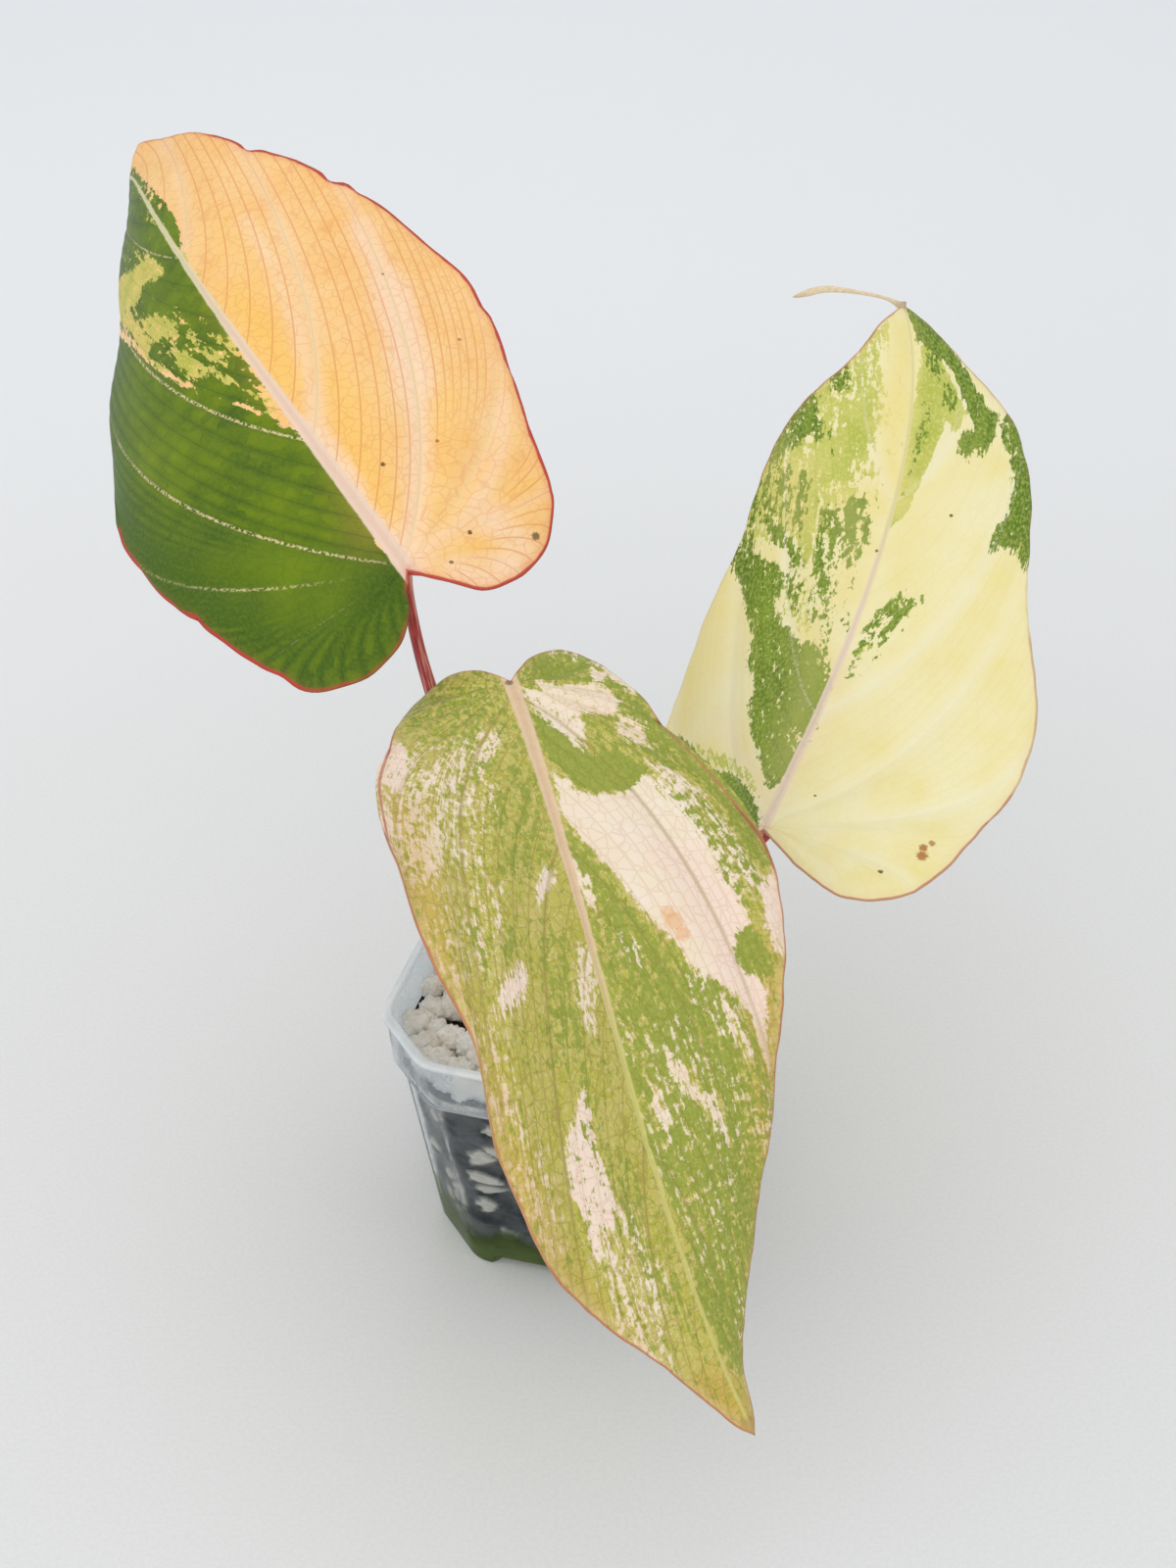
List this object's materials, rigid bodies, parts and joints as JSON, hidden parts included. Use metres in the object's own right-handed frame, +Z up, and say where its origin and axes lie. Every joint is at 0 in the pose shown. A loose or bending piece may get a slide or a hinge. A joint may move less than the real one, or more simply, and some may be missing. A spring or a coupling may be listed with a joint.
{
  "type": "potted aroid house plant",
  "caption": "Aroid house plant with large heart-shaped variegated leaves on red stalks, standing in a square frosted plastic nursery pot topped with pale stones.",
  "frame": {"origin": "middle of the pot's base, on the surface that it stands on", "axes": "+Z up, +Y away from the front leaf, +X to the right as seen from the front"},
  "size_m": [0.2552, 0.3101, 0.2671],
  "materials": {
    "frosted_plastic": "frosted translucent polypropylene",
    "bark_mix": "wet bark and coir",
    "pumice": "rough, light volcanic stone",
    "green_stem": "satin",
    "leaf_peach": "satin, peach on one half and deep green on the other",
    "leaf_cream": "satin, cream with green sectors",
    "leaf_olive": "satin, olive green with pink and cream streaks",
    "red_stalk": "satin, deep red with pale stripes"
  },
  "bodies": {
    "root": {"pot": "frosted_plastic", "potting_mix": "bark_mix", "pumice_topping": "pumice", "rhizome": "green_stem", "leaf_back_left": "leaf_peach", "leaf_back_right": "leaf_cream", "leaf_front": "leaf_olive", "petiole_back_left": "red_stalk", "petiole_back_right": "red_stalk", "petiole_front": "red_stalk"}
  },
  "joints": []
}
